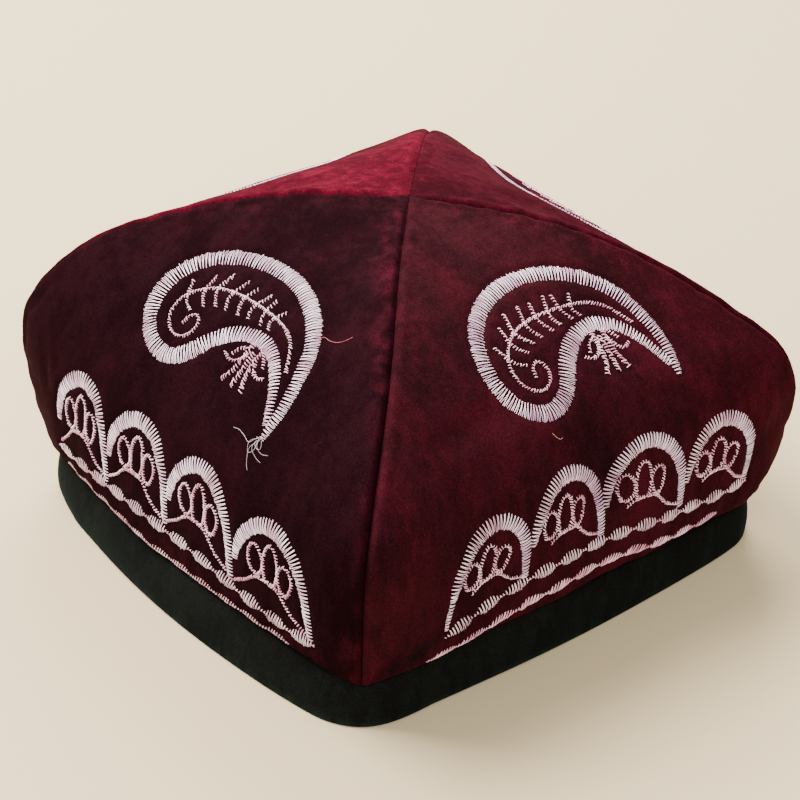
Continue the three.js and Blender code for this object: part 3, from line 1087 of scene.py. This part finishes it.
def stitchTree():
    inputs = [
        ("Geometry", "Geometry"),
        ("Gore", "Object"),
        ("Satin Pitch", "Float"),
        ("Rope Pitch", "Float"),
        ("Thread Radius", "Float"),
        ("Loft", "Float"),
        ("Bury", "Float"),
        ("Pairing", "Float"),
        ("Chart Size", "Float"),
        ("Seed", "Int"),
        ("Satin", "Material"),
        ("Rope", "Material"),
    ]
    tree, source, sink = newTree(
        "layStitches", "GeometryNodeTree", inputs, [("Geometry", "Geometry")]
    )
    given = source.outputs

    def attribute(name):
        return namedAttribute(tree, name)

    def scatter(low, high, shift):
        seed = plus(tree, given["Seed"], float(shift))
        feeds = {"Min": low, "Max": high, "Seed": seed}
        node = addNode(tree, "FunctionNodeRandomValue", {"data_type": "FLOAT"}, feeds)
        return socketNamed(node.outputs, "Value")

    # one thread of unit length, lofted in the middle and buried at its ends
    line = firstOf(tree, "GeometryNodeCurvePrimitiveLine", {"Start": (-0.5, 0, 0), "End": (0.5, 0, 0)})
    feeds = {"Curve": line, "Count": 5}
    line = addNode(tree, "GeometryNodeResampleCurve", {"mode": "COUNT"}, feeds).outputs[0]
    along = firstOf(tree, "ShaderNodeSeparateXYZ", {0: firstOf(tree, "GeometryNodeInputPosition")})
    eased = times(tree, maths(tree, "SINE", times(tree, along, math.pi)), 0.5)
    steep = maths(tree, "POWER", maths(tree, "ABSOLUTE", times(tree, eased, 2.0)), 3.0)
    rise = times(tree, maths(tree, "SUBTRACT", 1.0, steep), given["Loft"])
    height = maths(tree, "SUBTRACT", rise, given["Bury"])
    arched = firstOf(tree, "ShaderNodeCombineXYZ", {0: eased, 2: height})
    line = firstOf(tree, "GeometryNodeSetPosition", {"Geometry": line, "Position": arched})
    ring = threadRing(tree, given["Thread Radius"])
    feeds = {"Curve": line, "Profile Curve": ring, "Fill Caps": True}
    thread = firstOf(tree, "GeometryNodeCurveToMesh", feeds)

    # a thread across the line at each step, leaning to and fro as a zigzag does
    rope = attribute("rope")
    path = firstOf(tree, "GeometryNodeMeshToCurve", {"Mesh": given["Geometry"]})
    change = times(tree, rope, maths(tree, "SUBTRACT", given["Rope Pitch"], given["Satin Pitch"]))
    pitch = plus(tree, given["Satin Pitch"], change)
    feeds = {"Curve": path, "Length": pitch}
    path = addNode(tree, "GeometryNodeResampleCurve", {"mode": "LENGTH"}, feeds).outputs[0]
    heading = addNode(
        tree, "ShaderNodeSeparateXYZ", None, {0: firstOf(tree, "GeometryNodeInputTangent")}).outputs
    angle = maths(tree, "ARCTAN2", heading[1], heading[0])
    angle = plus(tree, angle, math.pi / 2)
    angle = maths(tree, "SUBTRACT", angle, attribute("lean"))
    index = firstOf(tree, "GeometryNodeInputIndex")
    side = maths(tree, "SUBTRACT", times(tree, maths(tree, "MODULO", index, 2.0), 2.0), 1.0)
    zigzag = maths(tree, "ARCTAN2", pitch, attribute("across"))
    zigzag = times(tree, zigzag, maths(tree, "SUBTRACT", 0.6, times(tree, rope, 0.4)))
    angle = plus(tree, angle, times(tree, side, zigzag))
    angle = plus(tree, angle, scatter(-0.06, 0.06, 1))
    angle = plus(tree, angle, times(tree, rope, scatter(-0.45, 0.45, 5)))
    turn = firstOf(tree, "ShaderNodeCombineXYZ", {2: angle})
    uneven = plus(tree, scatter(0.9, 1.1, 2), times(tree, rope, scatter(-0.15, 0.2, 6)))
    width = times(tree, attribute("across"), uneven)
    fat = plus(tree, scatter(0.85, 1.25, 3), times(tree, rope, 0.4))
    size = firstOf(tree, "ShaderNodeCombineXYZ", {0: width, 1: fat, 2: fat})
    feeds = {"Points": path, "Instance": thread, "Rotation": turn, "Scale": size}
    laid = firstOf(tree, "GeometryNodeInstanceOnPoints", feeds)
    # satin threads lie in pairs, with a gap after each pair
    paired = times(tree, times(tree, side, given["Pairing"]), maths(tree, "SUBTRACT", 1.0, rope))
    paired = plus(tree, paired, scatter(-0.00006, 0.00006, 8))
    slip = firstOf(tree, "ShaderNodeCombineXYZ", {0: scatter(-0.00018, 0.00018, 7), 1: paired})
    laid = firstOf(tree, "GeometryNodeTranslateInstances", {"Instances": laid, "Translation": slip})
    feeds = {"Geometry": laid, "Name": "tone", "Value": scatter(0.0, 1.0, 4)}
    settings = {"data_type": "FLOAT", "domain": "INSTANCE"}
    laid = addNode(tree, "GeometryNodeStoreNamedAttribute", settings, feeds).outputs[0]
    laid = firstOf(tree, "GeometryNodeRealizeInstances", {"Geometry": laid})

    laid = laidOnGore(tree, laid, given["Gore"], given["Chart Size"])
    laid = firstOf(tree, "GeometryNodeSetShadeSmooth", {"Geometry": laid})
    laid = firstOf(tree, "GeometryNodeRealizeInstances", {"Geometry": laid})
    laid = firstOf(tree, "GeometryNodeSetMaterial", {"Geometry": laid, "Material": given["Satin"]})
    isPink = maths(tree, "GREATER_THAN", attribute("pink"), 0.5)
    feeds = {"Geometry": laid, "Selection": isPink, "Material": given["Rope"]}
    laid = firstOf(tree, "GeometryNodeSetMaterial", feeds)
    tree.links.new(laid, sink.inputs[0])
    return tree


def setInput(modifier, label, value):
    sockets = modifier.node_group.interface.items_tree
    identifier = next(s.identifier for s in sockets if s.in_out == "INPUT" and s.name == label)
    modifier[identifier] = value


def giveNodes(lines, tree, values):
    modifier = lines.modifiers.new(tree.name, "NODES")
    modifier.node_group = tree
    for label, value in values.items():
        setInput(modifier, label, value)


def plainMesh(source, name):
    # the modifiers' result as a mesh of its own
    bpy.context.view_layer.update()
    graph = bpy.context.evaluated_depsgraph_get()
    mesh = bpy.data.meshes.new_from_object(
        source.evaluated_get(graph), preserve_all_data_layers=True, depsgraph=graph
    )
    mesh.name = name
    bpy.data.objects.remove(source)
    piece = bpy.data.objects.new(name, mesh)
    bpy.context.scene.collection.objects.link(piece)
    return piece


def chartLines(name):
    satin, rope = charts[name]
    rows, edges, isRope, isPink = [], [], [], []
    start = 0
    for kind, lines in ((0.0, satin), (1.0, rope)):
        for line in lines:
            rows.append(line)
            edges += [(start + i, start + i + 1) for i in range(len(line) - 1)]
            isRope += [kind] * len(line)
            pinker = kind or line is satin[-1]  # the low bead row is in the pinker thread
            isPink += [1.0 if pinker or width < 1.6 else 0.0 for width in line[:, 2]]
            start += len(line)
    rows = np.vstack(rows)
    mesh = bpy.data.meshes.new("lines_" + name)
    flat = np.column_stack([rows[:, :2] * mm, np.zeros(len(rows))])
    mesh.from_pydata(flat.tolist(), edges, [])
    storeFloats(mesh, "across", rows[:, 2] * mm)
    storeFloats(mesh, "lean", rows[:, 3])
    storeFloats(mesh, "rope", isRope)
    storeFloats(mesh, "pink", isPink)
    return newObject("lines_" + name, mesh)


# loose threads on a gore, each a line of x, y and height off it: the frayed end where the front
# paisley is tied off, and two stray fibres
looseEnds = {
    "loose_ends_front": ("front", frayedThread, [
        [
            (31.7, 55, 0.5), (31, 52.6, 1.7), (29.4, 51.3, 1.3),
            (27, 51.9, 0.8), (24.2, 52.5, 0.6), (21.8, 52.1, 0.4),
        ],
        [(31.6, 54.5, 0.5), (33, 51.8, 1.9), (34.8, 50.5, 1.2), (36.6, 50.9, 0.5)],
        [(31.5, 54, 0.5), (31.8, 50.9, 2.0), (33.4, 49, 1.1), (35.3, 48.2, 0.5)],
        [
            (31.2, 54, 0.5), (29.9, 51.6, 1.6), (30.7, 49.1, 1.4),
            (32.3, 50.3, 1.3), (31.4, 52.9, 0.9), (30.2, 53.4, 0.6),
        ],
        [(31.8, 53, 0.6), (30.5, 50.2, 1.2), (31, 46.9, 0.7), (32.2, 44.6, 0.4)],
        [(32.2, 53.6, 0.6), (33.9, 53.1, 1.6), (34.1, 51.4, 1.5), (32.4, 50.9, 1.0), (30.9, 51.7, 0.7)],
    ]),
    "loose_fibre_front": ("front", redFibre, [
        [
            (26.2, 83.6, 0.2), (28, 84.4, 0.4), (30.2, 84.2, 0.5),
            (32.4, 84.9, 0.4), (33.8, 86.4, 0.4), (34.5, 88.2, 0.2),
        ],
    ]),
    "loose_fibre_right": ("right", paleFibre, [
        [(-12.6, 52.4, 0.2), (-11.9, 51.1, 0.5), (-10.8, 50.3, 0.5), (-9.7, 50.3, 0.2)],
    ]),
}


def looseTree():
    inputs = [
        ("Geometry", "Geometry"),
        ("Gore", "Object"),
        ("Thread Radius", "Float"),
        ("Chart Size", "Float"),
        ("Thread", "Material"),
    ]
    tree, source, sink = newTree(
        "layLooseEnds", "GeometryNodeTree", inputs, [("Geometry", "Geometry")]
    )
    given = source.outputs
    path = firstOf(tree, "GeometryNodeMeshToCurve", {"Mesh": given["Geometry"]})
    ring = threadRing(tree, given["Thread Radius"])
    feeds = {"Curve": path, "Profile Curve": ring, "Fill Caps": True}
    tube = firstOf(tree, "GeometryNodeCurveToMesh", feeds)
    tube = laidOnGore(tree, tube, given["Gore"], given["Chart Size"])
    tube = firstOf(tree, "GeometryNodeRealizeInstances", {"Geometry": tube})
    feeds = {"Geometry": tube, "Material": given["Thread"]}
    tree.links.new(firstOf(tree, "GeometryNodeSetMaterial", feeds), sink.inputs[0])
    return tree


def looseThreads(pieceName):
    name, material, ends = looseEnds[pieceName]
    rows, edges = [], []
    for line in ends:
        line = smoothCurve(line, 8)
        edges += [(len(rows) + i, len(rows) + i + 1) for i in range(len(line) - 1)]
        rows += (line * mm).tolist()
    mesh = bpy.data.meshes.new("lines_" + pieceName)
    mesh.from_pydata(rows, edges, [])
    lines = newObject("lines_" + pieceName, mesh)
    giveNodes(lines, layLooseEnds, {
        "Gore": goreSheets[name],
        "Thread Radius": stitchMake["looseThread"] * mm,
        "Chart Size": goreMake["chartSize"] * mm,
        "Thread": material,
    })
    return plainMesh(lines, pieceName)


layStitches = stitchTree()
embroidery = {}
for order, name in enumerate(gores):
    lines = chartLines(name)
    giveNodes(lines, layStitches, {
        "Gore": goreSheets[name],
        "Satin Pitch": stitchMake["satinPitch"] * mm,
        "Rope Pitch": stitchMake["ropePitch"] * mm,
        "Thread Radius": stitchMake["thread"] * mm,
        "Loft": stitchMake["loft"] * mm,
        "Bury": stitchMake["bury"] * mm,
        "Pairing": stitchMake["pairing"] * mm,
        "Chart Size": goreMake["chartSize"] * mm,
        "Seed": stitchMake["seed"] + order,
        "Satin": satinThread,
        "Rope": ropeThread,
    })
    embroidery[name] = plainMesh(lines, "embroidery_" + name)
    print("embroidery", name, len(embroidery[name].data.polygons), "faces")
layLooseEnds = looseTree()
loosePieces = {pieceName: looseThreads(pieceName) for pieceName in looseEnds}
for sheet in goreSheets.values():
    bpy.data.objects.remove(sheet)


# the camera, floor and lights
view = {
    "azimuth": 48.9,
    "elevation": 31.6,
    "roll": 2.35,
    "distance": 766.75,
    "lens": 120.14,
    "aimHeight": 45.0,
    "aside": -0.33,
    "above": -8.45,
}


def placeCamera():
    a, e, r = (math.radians(view[key]) for key in ("azimuth", "elevation", "roll"))
    back = Vector((math.sin(a) * math.cos(e), -math.cos(a) * math.cos(e), math.sin(e)))
    right = Vector((math.cos(a), math.sin(a), 0))
    up = back.cross(right)
    aim = Vector((0, 0, view["aimHeight"])) + right * view["aside"] + up * view["above"]
    turnedRight = right * math.cos(r) + up * math.sin(r)
    turnedUp = up * math.cos(r) - right * math.sin(r)
    camera = bpy.data.objects.new("camera", bpy.data.cameras.new("camera"))
    camera.data.lens = view["lens"]
    camera.data.clip_end = 20
    matrix = camera.matrix_world.to_3x3()
    for i in range(3):
        matrix[i] = (turnedRight[i], turnedUp[i], back[i])
    camera.matrix_world = matrix.to_4x4()
    camera.location = (aim + back * view["distance"]) * mm
    bpy.context.scene.collection.objects.link(camera)
    bpy.context.scene.camera = camera


def plainMaterial(name, colour, roughness):
    material = bpy.data.materials.new(name)
    material.use_nodes = True
    shader = material.node_tree.nodes["Principled BSDF"]
    shader.inputs["Base Color"].default_value = (*colour, 1)
    shader.inputs["Roughness"].default_value = roughness
    return material


room = {
    "floorReach": 6000,
    "floorColour": (0.51, 0.41, 0.24),
    "floorRoughness": 0.9,
    "skyColour": (1.0, 0.97, 0.93),
    "skyStrength": 0.84,
}


def layFloor():
    reach = room["floorReach"]
    spots = [(-reach, -reach, 0), (reach, -reach, 0), (reach, reach, 0), (-reach, reach, 0)]
    floor = newObject("floor", meshFrom("floor", spots, [(0, 1, 2, 3)], smooth=False))
    floor.data.materials.append(plainMaterial("floorPale", room["floorColour"], room["floorRoughness"]))


# compass angle and height of each lamp in degrees, distance and size in metres, power, colour
lamps = {
    "key": (-150, 52, 1.1, 0.7, 49, (1.0, 0.97, 0.92)),
    "rim": (140, 40, 1.2, 0.6, 28, (1.0, 0.95, 0.93)),
    "fill": (-40, 38, 1.6, 1.6, 31, (1.0, 0.98, 0.96)),
}


def hangLamps():
    for name, (compass, height, distance, size, power, colour) in lamps.items():
        lamp = bpy.data.lights.new(name, "AREA")
        lamp.shape = "SQUARE"
        lamp.size, lamp.energy, lamp.color = size, power, colour
        lampObject = bpy.data.objects.new(name, lamp)
        a, e = math.radians(compass), math.radians(height)
        away = Vector((math.cos(a) * math.cos(e), math.sin(a) * math.cos(e), math.sin(e)))
        lampObject.location = away * distance + Vector((0, 0, 0.05))
        lampObject.rotation_euler = away.to_track_quat("Z", "Y").to_euler()
        bpy.context.scene.collection.objects.link(lampObject)
    world = bpy.data.worlds.new("room")
    world.use_nodes = True
    sky = world.node_tree.nodes["Background"].inputs
    sky["Color"].default_value = (*room["skyColour"], 1)
    sky["Strength"].default_value = room["skyStrength"]
    bpy.context.scene.world = world


placeCamera()
layFloor()
hangLamps()
print("camera, floor and lamps placed")


for name in gores:
    shell, stitches = goreShells[name], embroidery[name]
    laid = [stitches] + [loosePieces[key] for key in looseEnds if looseEnds[key][0] == name]
    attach(shell, "root")
    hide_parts("crown_panel_" + name)
    for piece in laid:
        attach(piece, "root")
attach(band, "root")
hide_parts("band")
